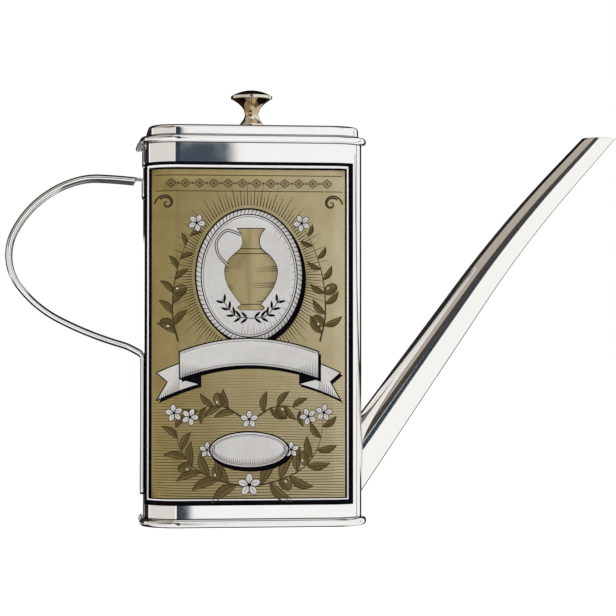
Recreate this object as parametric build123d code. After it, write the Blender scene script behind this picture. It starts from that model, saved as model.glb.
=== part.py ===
from build123d import *
from math import cos, degrees, radians, sin
import os

# Olive oil tin with a long pouring spout, a strap handle and a hinged lid.
# Millimetres. +X points along the spout, +Y to the back, +Z up.
# The origin is the centre of the foot's rest plane.

# Tank: a tin of rounded rectangular section, open at the top
tank_length = 83.8
tank_depth = 44.0
tank_corner = 13.0
tank_wall = 0.5
tank_top = 148.5
hem_height = 5.0
weld_width = 1.4
weld_rise = 0.15

# Foot: the base pan, rolled round the lower edge of the tank wall
foot_height = 3.2
foot_overhang = 1.85
foot_sheet = 0.55
foot_hook = 0.9
panel_recess = 2.6
panel_bead_inset = 7.0
panel_bead_width = 2.4
panel_bead_depth = 0.7
seam_gap = 0.05

# Spout: a tapered tube with one slow bend, cut level at the tip
spout_root_height = 26.4
spout_root_diameter = 18.1
spout_bend_diameter = 12.3
spout_tip_diameter = 9.8
spout_wall = 0.6
spout_root_angle = 54.5
spout_tip_angle = 47.4
spout_bend_radius = 480.0
spout_straight = 77.0
spout_tip_height = 151.4
spout_bend_steps = 6

# Handle: a strap with both edges rolled inwards, a short tab above and a long tail below
handle_reach = 53.5
handle_top = 133.55
handle_lean = 6.7
strap_width = 15.5
strap_sheet = 0.8
strap_roll = 2.6
tab_width = 10.0
tab_length = 8.0
tab_roll_setback = 2.4
tail_foot = 11.5
tail_foot_width = 8.0
tail_corner = 2.5
# The bends of the strap's outer line, from tab to tail: radii as shares of the reach, and turns
bend_radius_shares = (4.15, 0.538, 0.748, 0.398, 0.869, 2.505, 0.374)
bend_turns = (4.4, 16.7, 48.5, 64.5, 25.2, 11.2, -40.0)

# Lid: a pressed pan whose wired edge drops over the mouth
lid_sheet = 0.5
lid_seat_gap = 0.05
lid_side_gap = 0.2
bead_overhang = 1.8
bead_height = 2.75
bead_round_share = 0.48
plateau_inset = 1.2
plateau_height = 4.15
plateau_round = 1.5

# Knob: turned in one piece and held by a screw from inside the lid
knob_height = 15.4
knob_radius = 8.1
knob_edge_bulge = 0.3
knob_foot_radius = 4.7
knob_waist_radius = 2.65
knob_edge_height = 1.2
knob_dome_rise = 2.2
knob_foot_height = 2.2
knob_waist_share = 0.396
# The stem between waist and cap: shares of the flare in radius and of its height
stem_flare_shares = [(0.13, 0.34), (0.41, 0.64)]
stem_foot_shares = (0.30, 0.50)
screw_diameter = 3.0
screw_depth = 6.0
screw_head_diameter = 5.6
screw_head_height = 2.0
screw_slot_width = 0.8
screw_slot_depth = 0.9
screw_gap = 0.05
washer_diameter = 8.0
washer_thickness = 0.6

# Hinge: a wire pin in three curled knuckles under the lid's edge, at the handle side
pin_diameter = 1.6
pin_gap = 0.05
knuckle_sheet = 0.55
barrel_length = 14.0
lid_knuckle_length = 5.4
knuckle_gap = 0.2
knuckle_wall_gap = 0.2
knuckle_drop = 0.35
notch_gap = 0.3
leaf_sheet = 0.5
leaf_length = 7.5
leaf_corner = 1.5
pin_overhang = 0.4

# Printed band on the front
print_sheet = 0.12
print_gap = 0.02
print_left = 41.7
print_right = 37.4
print_bottom = 8.45
print_top = 138.8

overrun = 2.0

# Places that follow from the sizes above
wall_x = tank_length / 2
wall_y = tank_depth / 2
bead_top = tank_top + lid_seat_gap + lid_sheet
bead_bottom = bead_top - bead_height
plateau_top = bead_top + plateau_height
knuckle_radius = pin_diameter / 2 + pin_gap + knuckle_sheet
pin_x = -(wall_x + knuckle_wall_gap + knuckle_radius)
pin_z = bead_bottom - knuckle_drop


def outline(offset):
    """The tank's rounded rectangle, grown outwards by offset."""
    return RectangleRounded(tank_length + 2 * offset, tank_depth + 2 * offset, tank_corner + offset)


def block(offset, bottom, top):
    """A solid with the tank's outline, grown by offset, between two heights."""
    return extrude(Pos(0, 0, bottom) * outline(offset), amount=top - bottom)


def ring(outer, inner, bottom, top):
    """A wall that follows the tank's outline between two offsets."""
    return block(outer, bottom, top) - block(inner, bottom - overrun, top + overrun)


def edges_at(solid, height):
    """The level edges of a solid that lie at a height."""
    return solid.edges().filter_by_position(Axis.Z, height - seam_gap, height + seam_gap)


def between(low, high):
    """A box that spans two corners."""
    size = [b - a for a, b in zip(low, high)]
    middle = [(a + b) / 2 for a, b in zip(low, high)]
    return Pos(*middle) * Box(*size)


def spout_line():
    """The start, bend centre, run to the bend's end and run to the tip of the centre line."""
    lean = radians(spout_root_angle)
    root = Vector(wall_x, 0, spout_root_height)
    corner = root + Vector(cos(lean), 0, sin(lean)) * spout_straight
    centre = corner + Vector(sin(lean), 0, -cos(lean)) * spout_bend_radius
    bend_end = spout_straight + spout_bend_radius * radians(spout_root_angle - spout_tip_angle)
    lean = radians(spout_tip_angle)
    end_z = centre.Z + spout_bend_radius * cos(lean)
    tip = bend_end + (spout_tip_height - end_z) / sin(lean)
    return root, centre, bend_end, tip


def spout_place(run):
    """The point and the lean in degrees of the centre line at a run from the wall."""
    root, centre, bend_end, tip = spout_line()
    if run <= spout_straight:
        lean = radians(spout_root_angle)
        return root + Vector(cos(lean), 0, sin(lean)) * run, spout_root_angle
    turned = (min(run, bend_end) - spout_straight) / spout_bend_radius
    lean = radians(spout_root_angle) - turned
    point = centre + Vector(-sin(lean), 0, cos(lean)) * spout_bend_radius
    past = max(run - bend_end, 0)
    return point + Vector(cos(lean), 0, sin(lean)) * past, degrees(lean)


def spout_diameter(run):
    """Outer diameter at a run from the wall: two straight tapers that meet in mid bend."""
    root, centre, bend_end, tip = spout_line()
    middle = (spout_straight + bend_end) / 2
    if run < middle:
        return spout_root_diameter + (spout_bend_diameter - spout_root_diameter) * run / middle
    share = (run - middle) / (tip - middle)
    return spout_bend_diameter + (spout_tip_diameter - spout_bend_diameter) * share


def spout_solid(inset):
    """The tapered, bent rod of the spout, its radius less by inset."""
    root, centre, bend_end, tip = spout_line()
    runs = [-spout_root_diameter, spout_straight]
    for step in range(1, spout_bend_steps + 1):
        runs.append(spout_straight + (bend_end - spout_straight) * step / spout_bend_steps)
    runs.append(tip + spout_tip_diameter)
    sections = []
    for run in runs:
        point, angle = spout_place(run)
        lean = radians(angle)
        plane = Plane(point, x_dir=(0, 1, 0), z_dir=(cos(lean), 0, sin(lean)))
        sections.append(plane * Circle(spout_diameter(run) / 2 - inset))
    return loft(sections, ruled=True)


def make_spout():
    """The tube outside the tank, cut level at its tip."""
    tube = spout_solid(0) - spout_solid(spout_wall)
    tube -= block(0, -overrun, tank_top)
    root, centre, bend_end, tip = spout_line()
    reach = wall_x + tip + spout_tip_diameter
    above = between(
        (-reach, -reach, spout_tip_height),
        (reach, reach, spout_tip_height + reach),
    )
    return tube - above


def make_tank():
    """The wall: a hem at the mouth, a hook at the foot, the spout's hole, a weld at the back."""
    wall_foot = foot_sheet + seam_gap
    wall = ring(0, -tank_wall, wall_foot, tank_top)
    wall += ring(foot_hook, -tank_wall, wall_foot, wall_foot + tank_wall)
    wall += ring(0, -2 * tank_wall, tank_top - hem_height, tank_top)
    wall = fillet(edges_at(wall, tank_top), tank_wall - seam_gap)
    wall += between(
        (-weld_width / 2, wall_y - tank_wall, foot_height + seam_gap),
        (weld_width / 2, wall_y + weld_rise, tank_top - hem_height),
    )
    return wall - spout_solid(spout_wall)


def make_base():
    """The base pan: a recessed panel, a wall inside the tank's, and the curl outside it."""
    shell = block(foot_overhang, 0, foot_height)
    roll = min(foot_overhang, foot_height / 2) - seam_gap
    shell = fillet(edges_at(shell, 0) + edges_at(shell, foot_height), roll)
    inner = -(tank_wall + seam_gap)
    shell -= block(inner - foot_sheet, -overrun, foot_height + overrun)
    shell -= ring(seam_gap, inner, foot_sheet, foot_height + overrun)
    shell -= ring(foot_hook + seam_gap, 0, foot_sheet, foot_sheet + tank_wall + 2 * seam_gap)
    panel = block(inner, panel_recess, panel_recess + foot_sheet)
    bead_out = inner - panel_bead_inset
    bead_in = bead_out - panel_bead_width
    panel -= ring(bead_out, bead_in, panel_recess - overrun, panel_recess + foot_sheet + overrun)
    low = panel_recess - panel_bead_depth
    panel += ring(bead_out, bead_in, low, low + foot_sheet)
    panel += ring(bead_out + foot_sheet, bead_out, low, panel_recess + foot_sheet)
    panel += ring(bead_in, bead_in - foot_sheet, low, panel_recess + foot_sheet)
    return shell + panel


def strap_path():
    """The strap's outer line in the middle plane: a straight in the wall, then tangent bends."""
    lean = radians(handle_lean)
    start = Vector(-wall_x, handle_top)
    heading = Vector(-cos(lean), sin(lean))
    edges = [Line(start - heading * strap_roll, start)]
    for share, turn in zip(bend_radius_shares, bend_turns):
        before = edges[-1]
        edges.append(JernArc(before @ 1, before % 1, share * handle_reach, turn))
    return Plane.XZ * Wire(edges)


def strap_section():
    """The sheet with a roll along each edge, on the inner side of the outer line."""
    flat = strap_width - strap_roll
    section = Pos(0, strap_sheet / 2) * Rectangle(flat, strap_sheet)
    for side in (-1, 1):
        section += Pos(side * flat / 2, strap_roll / 2) * Circle(strap_roll / 2)
    return section


def make_handle():
    """The bent strap with its tab and tail, which lie flat on the tank's wall.

    The tail reaches up to where the strap's outer side meets the wall, and a sheet further."""
    path = strap_path()
    plane = Plane(path @ 0, x_dir=(0, 1, 0), z_dir=path % 0)
    strap = sweep(plane * strap_section(), path=path)
    high = handle_top + overrun
    for side in (-1, 1):
        outer = side * strap_width
        edge = side * tab_width / 2
        strap -= between(
            (-wall_x - tab_roll_setback, min(edge, outer), high - tab_length),
            (-wall_x + strap_roll, max(edge, outer), high),
        )
    strap -= block(0, -overrun, tank_top)
    tab_top = handle_top - strap_sheet / 2
    tab = wall_plate(tab_width, tab_width, tab_top - tab_length, tab_top, tail_corner)
    foot = strap.faces().filter_by(Axis.X).sort_by(Axis.Z)[0]
    tail_top = foot.bounding_box().min.Z + strap_sheet
    tail = wall_plate(tail_foot_width, strap_width, tail_foot, tail_top, tail_corner)
    return strap + tab + tail


def wall_plate(foot_width, head_width, bottom, top, corner):
    """A flat plate on the handle side of the tank, its two lower corners rounded."""
    shape = Polygon(
        (-foot_width / 2, bottom),
        (foot_width / 2, bottom),
        (head_width / 2, top),
        (-head_width / 2, top),
        align=None,
    )
    low = shape.vertices().sort_by(Axis.Y)[:2]
    shape = fillet(low, corner)
    plane = Plane((-wall_x, 0, 0), x_dir=(0, -1, 0), z_dir=(-1, 0, 0))
    return extrude(plane * shape, amount=strap_sheet)


def rod(radius, length, middle=0):
    """A rod about the hinge axis."""
    return Pos(pin_x, middle, pin_z) * Rot(90, 0, 0) * Cylinder(radius, length)


def make_lid():
    """The pan: plateau, wired edge and the knuckle that hangs from it."""
    offset = bead_overhang
    bead = block(offset, bead_bottom, bead_top)
    curl = bead_height * bead_round_share
    bead = fillet(edges_at(bead, bead_bottom) + edges_at(bead, bead_top), curl)
    plateau = block(-plateau_inset, bead_bottom, plateau_top)
    plateau = fillet(edges_at(plateau, plateau_top), plateau_round)
    pan = bead + plateau
    pan -= block(lid_side_gap, bead_bottom - overrun, bead_top - lid_sheet)
    hollow = block(-plateau_inset - lid_sheet, bead_bottom, plateau_top - lid_sheet)
    pan -= fillet(edges_at(hollow, plateau_top - lid_sheet), plateau_round - lid_sheet)
    notch_half = barrel_length / 2 + pin_overhang + notch_gap
    notch_top = pin_z + knuckle_radius + notch_gap
    pan -= between(
        (-wall_x - bead_overhang - overrun, -notch_half, bead_bottom - overrun),
        (-wall_x, notch_half, notch_top),
    )
    knuckle = rod(knuckle_radius, lid_knuckle_length)
    web = between(
        (pin_x - knuckle_sheet / 2, -lid_knuckle_length / 2, pin_z),
        (pin_x + knuckle_sheet, lid_knuckle_length / 2, notch_top + lid_sheet),
    )
    hole = screw_diameter / 2 + screw_gap
    pan += knuckle + web
    pan -= rod(pin_diameter / 2 + pin_gap, lid_knuckle_length + overrun)
    return pan - Pos(0, 0, plateau_top) * Cylinder(hole, 2 * overrun)


def make_hinge_leaf():
    """The leaf on the tank's wall, with a knuckle at each end of its upper edge."""
    half = barrel_length / 2
    free = lid_knuckle_length / 2 + knuckle_gap
    plane = Plane((-wall_x, 0, 0), x_dir=(0, -1, 0), z_dir=(-1, 0, 0))
    bottom = pin_z - leaf_length
    shape = Polygon((-half, bottom), (half, bottom), (half, pin_z), (-half, pin_z), align=None)
    shape = fillet(shape.vertices().sort_by(Axis.Y)[:2], leaf_corner)
    leaf = extrude(plane * shape, amount=leaf_sheet)
    for side in (-1, 1):
        leaf += rod(knuckle_radius, half - free, side * (half + free) / 2)
    top = pin_z + knuckle_radius + overrun
    low = pin_z - knuckle_radius - knuckle_gap
    leaf -= between((pin_x - knuckle_radius - overrun, -free, low), (-wall_x + overrun, free, top))
    return leaf - rod(pin_diameter / 2 + pin_gap, barrel_length + overrun)


def make_pin():
    """The wire pin, its ends slightly rounded over."""
    pin = rod(pin_diameter / 2, barrel_length + 2 * pin_overhang)
    ends = pin.edges().filter_by(GeomType.CIRCLE)
    return fillet(ends, pin_overhang / 2)


def make_knob():
    """The knob: foot, waist, flared stem and a low dome, with a blind screw hole below."""
    edge_top = knob_height - knob_dome_rise
    edge_low = edge_top - knob_edge_height
    edge_radius = knob_radius - knob_edge_bulge
    waist = knob_height * knob_waist_share
    flare = edge_radius - knob_waist_radius
    rise = edge_low - waist
    stem = [(edge_radius - knob_edge_height / 3, edge_low)]
    for out, up in reversed(stem_flare_shares):
        stem.append((knob_waist_radius + flare * out, waist + rise * up))
    stem.append((knob_waist_radius, waist))
    foot_flare = knob_foot_radius - knob_waist_radius
    out, down = stem_foot_shares
    stem.append((knob_waist_radius + foot_flare * out, waist - (waist - knob_foot_height) * down))
    stem.append((knob_foot_radius, knob_foot_height))
    dome_middle = (edge_radius / 2, knob_height - knob_dome_rise / 4)
    edge_middle = (knob_radius, edge_top - knob_edge_height / 2)
    with BuildPart() as turned:
        with BuildSketch(Plane.XZ):
            with BuildLine():
                dome = ThreePointArc((0, knob_height), dome_middle, (edge_radius, edge_top))
                ThreePointArc(dome @ 1, edge_middle, stem[0])
                side = Spline(*stem)
                Polyline(side @ 1, (knob_foot_radius, 0), (0, 0), (0, knob_height))
            make_face()
        revolve(axis=Axis.Z)
    hole = Pos(0, 0, screw_depth / 2) * Cylinder(screw_diameter / 2 + screw_gap, screw_depth)
    return Pos(0, 0, plateau_top) * (turned.part - hole)


def make_washer():
    """The washer between the screw's head and the lid."""
    top = plateau_top - lid_sheet
    disc = Pos(0, 0, top - washer_thickness / 2) * Cylinder(washer_diameter / 2, washer_thickness)
    return disc - Pos(0, 0, top) * Cylinder(screw_diameter / 2 + screw_gap, 2 * overrun)


def make_screw():
    """The pan-head screw, seen from inside the lid."""
    seat = plateau_top - lid_sheet - washer_thickness
    tip = plateau_top + screw_depth - knuckle_gap
    head = Pos(0, 0, seat - screw_head_height / 2) * Cylinder(
        screw_head_diameter / 2, screw_head_height
    )
    head = fillet(edges_at(head, seat - screw_head_height), screw_head_height / 2)
    slot = between(
        (-screw_head_diameter, -screw_slot_width / 2, seat - screw_head_height - overrun),
        (screw_head_diameter, screw_slot_width / 2, seat - screw_head_height + screw_slot_depth),
    )
    shank = Pos(0, 0, (seat + tip) / 2) * Cylinder(screw_diameter / 2, tip - seat)
    return head - slot + shank


def make_print():
    """The thin printed band on the front, which runs round both front corners."""
    band = ring(print_gap + print_sheet, print_gap, print_bottom, print_top)
    front = between(
        (-print_left, -tank_depth, print_bottom - overrun),
        (print_right, -wall_y + tank_corner, print_top + overrun),
    )
    return band & front


parts = {
    "tank_shell": make_tank(),
    "base_pan": make_base(),
    "spout": make_spout(),
    "handle_strap": make_handle(),
    "lid_pan": make_lid(),
    "lid_knob": make_knob(),
    "knob_washer": make_washer(),
    "knob_screw": make_screw(),
    "hinge_leaf": make_hinge_leaf(),
    "hinge_pin": make_pin(),
    "front_print": make_print(),
}

os.makedirs("parts", exist_ok=True)
for name, solid in parts.items():
    export_step(solid, f"parts/{name}.step")
    print(name, round(solid.volume, 1), solid.bounding_box())
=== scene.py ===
from math import cos, degrees, pi, radians, sin, tan

import bmesh
import bpy
import numpy as np
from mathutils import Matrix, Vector


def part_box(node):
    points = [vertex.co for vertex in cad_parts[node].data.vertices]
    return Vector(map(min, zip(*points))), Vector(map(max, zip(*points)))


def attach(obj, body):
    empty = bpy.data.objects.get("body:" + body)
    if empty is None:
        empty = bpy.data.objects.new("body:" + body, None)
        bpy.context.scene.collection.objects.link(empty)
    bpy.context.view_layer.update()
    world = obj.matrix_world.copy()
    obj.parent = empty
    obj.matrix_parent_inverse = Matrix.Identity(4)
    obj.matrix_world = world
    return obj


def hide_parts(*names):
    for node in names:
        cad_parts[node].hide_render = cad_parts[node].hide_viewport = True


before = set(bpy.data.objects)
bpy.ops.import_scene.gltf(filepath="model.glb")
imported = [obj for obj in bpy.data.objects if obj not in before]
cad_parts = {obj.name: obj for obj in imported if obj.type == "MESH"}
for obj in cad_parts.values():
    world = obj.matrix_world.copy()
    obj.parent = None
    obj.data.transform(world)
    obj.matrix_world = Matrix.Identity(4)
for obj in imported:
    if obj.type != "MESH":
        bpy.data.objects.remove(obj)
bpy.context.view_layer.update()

# Sizes in metres, written as millimetres times MM. +X is the spout's side, -Y the printed front.
MM = 0.001

# Tank: the outline's half sizes and corner, and the heights, all as the solids have them
WALL_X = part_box("spout")[0].x
WALL_Y = 22.0 * MM
CORNER = 13.0 * MM
SHEET = 0.5 * MM
TANK_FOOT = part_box("tank_shell")[0].z
TANK_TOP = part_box("tank_shell")[1].z
HOOK = 0.9 * MM
HEM = 5.0 * MM
FOLD = 0.12 * MM
WELD_WIDTH = 1.4 * MM
WELD_RISE = 0.15 * MM
WELD_RIPPLE = (0.06, 1.1 * MM)
CORE_X = WALL_X - CORNER
CORE_Y = WALL_Y - CORNER

# Foot: the rolled rim, the recessed panel with its pressed bead, and the seam's gaps
FOOT_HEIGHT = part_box("base_pan")[1].z
FOOT_OUT = 1.85 * MM
FOOT_IN = 1.1 * MM
FOOT_PANEL = 2.6 * MM
FOOT_SHEET = 0.55 * MM
FOOT_BEAD = (-7.55 * MM, -9.95 * MM)
FOOT_DIP = 0.7 * MM
FOOT_BEND = 0.3 * MM
SEAM_GAP = 0.05 * MM
CREASE = 0.02 * MM

# Lid: the wired edge's reach and heights, and the plateau that rises inside it
BEAD_OUT = 1.8 * MM
LID_SEAT = 0.55 * MM
BEAD_DEPTH = 2.75 * MM
BEAD_TOP = TANK_TOP + LID_SEAT
BEAD_LOW = BEAD_TOP - BEAD_DEPTH
LID_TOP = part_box("lid_knob")[0].z
LID_EDGE_IN = 0.2 * MM
PLATEAU_IN = 1.2 * MM

# Spout: the centre line and tapers of the solid, its cut tip and its solder
SPOUT_ROOT_Z = 26.4 * MM
SPOUT_STRAIGHT = 77.0 * MM
SPOUT_BEND = 480.0 * MM
SPOUT_ROOT_LEAN = radians(54.5)
SPOUT_TIP_LEAN = radians(47.4)
SPOUT_BEND_END = SPOUT_STRAIGHT + SPOUT_BEND * (SPOUT_ROOT_LEAN - SPOUT_TIP_LEAN)
SPOUT_RADII = (9.05 * MM, 6.15 * MM, 4.9 * MM)
SPOUT_SHEET = 0.6 * MM
SPOUT_TIP_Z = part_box("spout")[1].z
SPOUT_RIM = 0.12 * MM
SPOUT_RUNS = (-40 * MM, 190 * MM)
SOLDER_LEG = 0.55 * MM

# Finer rows of the wall round the spout's hole: their heights, their number and the columns cut
HOLE_HEIGHTS = (7.0 * MM, 44.0 * MM)
HOLE_ROWS = 15
HOLE_COLUMNS = (24, 36)

# Handle: the strap's outer line is a chain of bends, radii as shares of the reach
HANDLE_REACH = 53.5 * MM
HANDLE_TOP = 133.55 * MM
HANDLE_LEAN = radians(6.7)
BEND_RADIUS_SHARES = (4.15, 0.538, 0.748, 0.398, 0.869, 2.505, 0.374)
BEND_TURNS = (4.4, 16.7, 48.5, 64.5, 25.2, 11.2, -12.0)
STRAP_WIDTH = 15.5 * MM
STRAP_SHEET = 0.8 * MM
STRAP_ROLL = 1.3 * MM
STRAP_ROLL_FLATNESS = 2.4
STRAP_STEP = 0.8 * MM
TAB_WIDTH = 10.0 * MM
TAB_LENGTH = 8.0 * MM
TAB_BEND = 1.3 * MM
TAB_SETBACK = 2.4 * MM
TAIL_BEND = 2.2 * MM
TAIL_ROLL = 0.75 * MM
TAIL_WIDTH = 8.0 * MM
TAIL_CORNER = 2.5 * MM

# Hinge: the wire pin's place, the curled ears and the leaf
PIN_LOW, PIN_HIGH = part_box("hinge_pin")
PIN_X = (PIN_LOW.x + PIN_HIGH.x) / 2
PIN_Z = (PIN_LOW.z + PIN_HIGH.z) / 2
PIN_RADIUS = 0.8 * MM
CURL_SHEET = 0.55 * MM
CURL_GAP = 0.06 * MM
CURL_TURN = radians(318)
LEAF_CURL_START = radians(-60)
LID_CURL_START = radians(112)
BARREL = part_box("hinge_leaf")[1].y * 2
LEAF_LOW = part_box("hinge_leaf")[0].z
LEAF_SHEET = 0.5 * MM
LID_CURL = 5.4 * MM
CURL_PLAY = 0.2 * MM

# Knob: heights and radii of the turning, in millimetres where listed
KNOB_HEIGHT = 15.4 * MM
KNOB_RADIUS = 7.8 * MM
KNOB_RIM = (2.2 * MM, 3.4 * MM)
KNOB_STEM = ((7.5, 11.86), (4.76, 9.88), (3.32, 8.1), (2.65, 6.1), (3.2, 4.15), (4.45, 2.35))
KNOB_FOOT = ((4.7, 2.05), (4.7, 0.12), (4.6, 0.0), (0.0, 0.0))

# Print: the panel's edges on the tank, along X and Z, and the pitch of its dots
PRINT_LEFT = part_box("front_print")[0].x - 0.18 * MM
PRINT_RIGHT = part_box("front_print")[1].x
PRINT_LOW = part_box("front_print")[0].z
PRINT_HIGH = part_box("front_print")[1].z
DOT = 0.4 * MM

# The photograph's view, turned from +Y towards +X
VIEW_AZIMUTH = radians(6.5)
VIEW_PITCH = radians(1.053)
CAMERA_PLACE = Vector((-70.8, -816.3, 68.6)) * MM
FOCAL_SHARE = 2100 / 616


# Node materials

def linear(code):
    """A colour's sRGB hex code as the linear values that nodes take."""
    parts = [int(code[i:i + 2], 16) / 255 for i in (1, 3, 5)]
    return [p / 12.92 if p <= 0.04045 else ((p + 0.055) / 1.055) ** 2.4 for p in parts] + [1.0]


def add(tree, kind, **given):
    """Adds a shader node. Names in small letters are its settings, and the rest are its sockets:
    in0, in1 and so on, or a name with a capital, each a value, a node or a (node, output) pair."""
    node = tree.nodes.new("ShaderNode" + kind)
    for key, value in given.items():
        numbered = key[:2] == "in" and key[2:].isdigit()
        if key.islower() and not numbered:
            setattr(node, key, value)
            continue
        socket = node.inputs[int(key[2:]) if numbered else key.replace("_", " ")]
        source = (value, 0) if isinstance(value, bpy.types.Node) else value
        if isinstance(source, tuple) and isinstance(source[0], bpy.types.Node):
            tree.links.new(source[0].outputs[source[1]], socket)
        else:
            socket.default_value = value
    return node


def new_material(name):
    """An empty node material and its tree."""
    made = bpy.data.materials.new(name)
    made.use_nodes = True
    made.node_tree.nodes.clear()
    return made, made.node_tree


def window(tree, value, low, high, soft):
    """1 between low and high, falling smoothly to 0 over soft outside them."""
    smooth = {"interpolation_type": "SMOOTHSTEP", "Value": value}
    rise = add(tree, "MapRange", **smooth, in1=low - soft, in2=low, in3=0.0, in4=1.0)
    fall = add(tree, "MapRange", **smooth, in1=high, in2=high + soft, in3=1.0, in4=0.0)
    return add(tree, "Math", operation="MULTIPLY", in0=rise, in1=fall)


def sheet_metal(name, colour, roughness, grain_mm, grain_depth, wave_depth, smudge, shaded_creases=()):
    """Rolled or polished sheet: a long fine grain, slow waves in the sheet and faint smudges.

    Each of shaded_creases is a pair of heights between which a darker grey is painted in: painted shade,
    where a crease's shadow falls.
    """
    made, tree = new_material(name)
    place = (add(tree, "TexCoord"), "Object")
    along = add(tree, "Mapping", Vector=place, Scale=(40.0, 40.0, 1 / (grain_mm * MM)))
    grain = add(tree, "TexNoise", Vector=along, Scale=1.0, Detail=3.0, Roughness=0.6)
    wave = add(tree, "TexNoise", Vector=place, Scale=26.0, Detail=1.0, Roughness=0.4)
    cloud = add(tree, "TexNoise", Vector=place, Scale=95.0, Detail=5.0, Roughness=0.62)
    dull = add(tree, "MapRange", Value=cloud, in1=0.35, in2=0.75, in3=roughness, in4=roughness + smudge)
    bright = [min(1.0, v * 1.06) for v in linear(colour)[:3]] + [1.0]
    tint = (add(tree, "Mix", data_type="RGBA", in0=cloud, in6=linear(colour), in7=bright), 2)
    # Painted shade: between each pair of heights the colour is darkened towards a dark grey, standing in for
    # the shade in a crease
    for low, high in shaded_creases:
        height = (add(tree, "SeparateXYZ", Vector=place), 2)
        crease_shade = window(tree, height, low, high, 0.05 * MM)
        tint = (add(tree, "Mix", data_type="RGBA", in0=crease_shade, in6=tint, in7=linear("#65625f")), 2)
    slow = add(tree, "Bump", Height=wave, Distance=wave_depth * MM, Strength=1.0)
    fine = add(tree, "Bump", Height=grain, Distance=grain_depth * MM, Strength=1.0, Normal=slow)
    skin = add(tree, "BsdfPrincipled", Base_Color=tint, Metallic=1.0, Roughness=dull, Normal=fine)
    add(tree, "OutputMaterial", Surface=skin)
    return made


def turned_nickel():
    """Nickel plate on turned brass: rings of tool marks round the axis, a warm grey metal, with a browner
    band painted round the waist as a painted warm reflection.
    """
    made, tree = new_material("turned_nickel_plate")
    place = (add(tree, "TexCoord"), "Object")
    height = (add(tree, "SeparateXYZ", Vector=place), 2)
    rings = add(tree, "TexNoise", noise_dimensions="1D", W=height, Scale=4200.0, Detail=2.0)
    cloud = add(tree, "TexNoise", Vector=place, Scale=160.0, Detail=4.0)
    dull = add(tree, "MapRange", Value=cloud, in1=0.35, in2=0.7, in3=0.08, in4=0.14)
    marks = add(tree, "Bump", Height=rings, Distance=0.0006 * MM, Strength=1.0)
    # Painted reflection: a browner tone laid into the colour round the stem's waist, for the warm reflection
    # there
    waist = window(tree, height, LID_TOP + 6.5 * MM, LID_TOP + 10.5 * MM, 2.5 * MM)
    warm = add(tree, "Mix", data_type="RGBA", in0=waist, in6=linear("#e8e3d6"), in7=linear("#d2b893"))
    reflection_tint_mottled = add(
        tree, "Mix", data_type="RGBA", blend_type="MULTIPLY", in0=cloud, in6=(warm, 2), in7=linear("#eceae6"),
    )
    skin = add(tree, "BsdfPrincipled", Base_Color=(reflection_tint_mottled, 2), Metallic=1.0, Roughness=dull, Normal=marks)
    add(tree, "OutputMaterial", Surface=skin)
    return made


def printed_ink(name, colour, deeper, metal, roughness, gloss=0.5, coat=0.35, lit_side_colours=None):
    """Litho ink under clear stoving varnish: a fine dot grain and cloudy depth of colour.

    lit_side_colours is a pair of colours that the ink reaches towards the spout: painted light, the panel
    lighter on that side as if lit more."""
    made, tree = new_material(name)
    place = (add(tree, "TexCoord"), "Object")
    dots = add(tree, "TexVoronoi", feature="F1", Vector=place, Scale=1 / DOT)
    cloud = add(tree, "TexNoise", Vector=place, Scale=70.0, Detail=4.0, Roughness=0.6)
    mixed = add(tree, "Math", operation="MULTIPLY_ADD", in0=dots, in1=0.35, in2=cloud)
    span = add(tree, "MapRange", Value=mixed, in1=0.4, in2=0.9, in3=0.0, in4=1.0)
    tint = add(tree, "Mix", data_type="RGBA", in0=span, in6=linear(colour), in7=linear(deeper))
    # Painted light: a ramp across the panel towards the lighter colours on the spout's side
    if lit_side_colours:
        lit_side_tint = add(tree, "Mix", data_type="RGBA", in0=span, in6=linear(lit_side_colours[0]), in7=linear(lit_side_colours[1]))
        split = add(tree, "SeparateXYZ", Vector=place)
        across = add(tree, "MapRange", Value=split, in1=PRINT_LEFT, in2=PRINT_RIGHT, in3=0.0, in4=1.0)
        tint = add(tree, "Mix", data_type="RGBA", in0=across, in6=(tint, 2), in7=(lit_side_tint, 2))
    wave = add(tree, "TexNoise", Vector=place, Scale=26.0, Detail=1.0)
    slow = add(tree, "Bump", Height=wave, Distance=0.03 * MM, Strength=1.0)
    skin = add(
        tree, "BsdfPrincipled", Base_Color=(tint, 2), Metallic=metal, Roughness=roughness,
        Coat_Weight=coat, Coat_Roughness=0.12, Specular_IOR_Level=gloss, Normal=slow,
    )
    add(tree, "OutputMaterial", Surface=skin)
    return made


# Polished 18/8 sheet: nearly white, a mirror with a slight blur and slow ripples in the flats
tank_steel = sheet_metal(
    "polished_tank_steel", "#f0efed", 0.02, 0.35, 0.0002, 0.012, 0.025,
    # Painted shade: a darker band on the wall under the lid's wired edge, and one where the wall meets the
    # foot
    shaded_creases=((BEAD_LOW - 0.3 * MM, BEAD_LOW + 1.0 * MM), (FOOT_HEIGHT - 1.0 * MM, FOOT_HEIGHT + 0.35 * MM)),
)
# The foot is the same sheet, pressed and seamed, so its reflections are shorter and duller
foot_steel = sheet_metal("seamed_foot_steel", "#ecebe9", 0.06, 0.4, 0.0004, 0.008, 0.08)
# The lid is pressed from the same sheet, with finer ripples
lid_steel = sheet_metal(
    "pressed_lid_steel", "#f0efee", 0.02, 0.35, 0.0002, 0.004, 0.025,
    # Painted shade: a darker line just above the wired edge, in the crease where the plateau's wall meets the
    # bead
    shaded_creases=((BEAD_TOP + 0.05 * MM, BEAD_TOP + 0.5 * MM),),
)
# The spout is drawn and polished: lines run along it and bright bands follow its length
spout_steel = sheet_metal("polished_spout_steel", "#f2f0ec", 0.05, 0.6, 0.0003, 0.008, 0.06)
# The strap is buffed bright, with sharp narrow reflections in its rolled edges
strap_steel = sheet_metal("buffed_strap_steel", "#f2f2f1", 0.04, 0.5, 0.0002, 0.002, 0.04)
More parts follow.
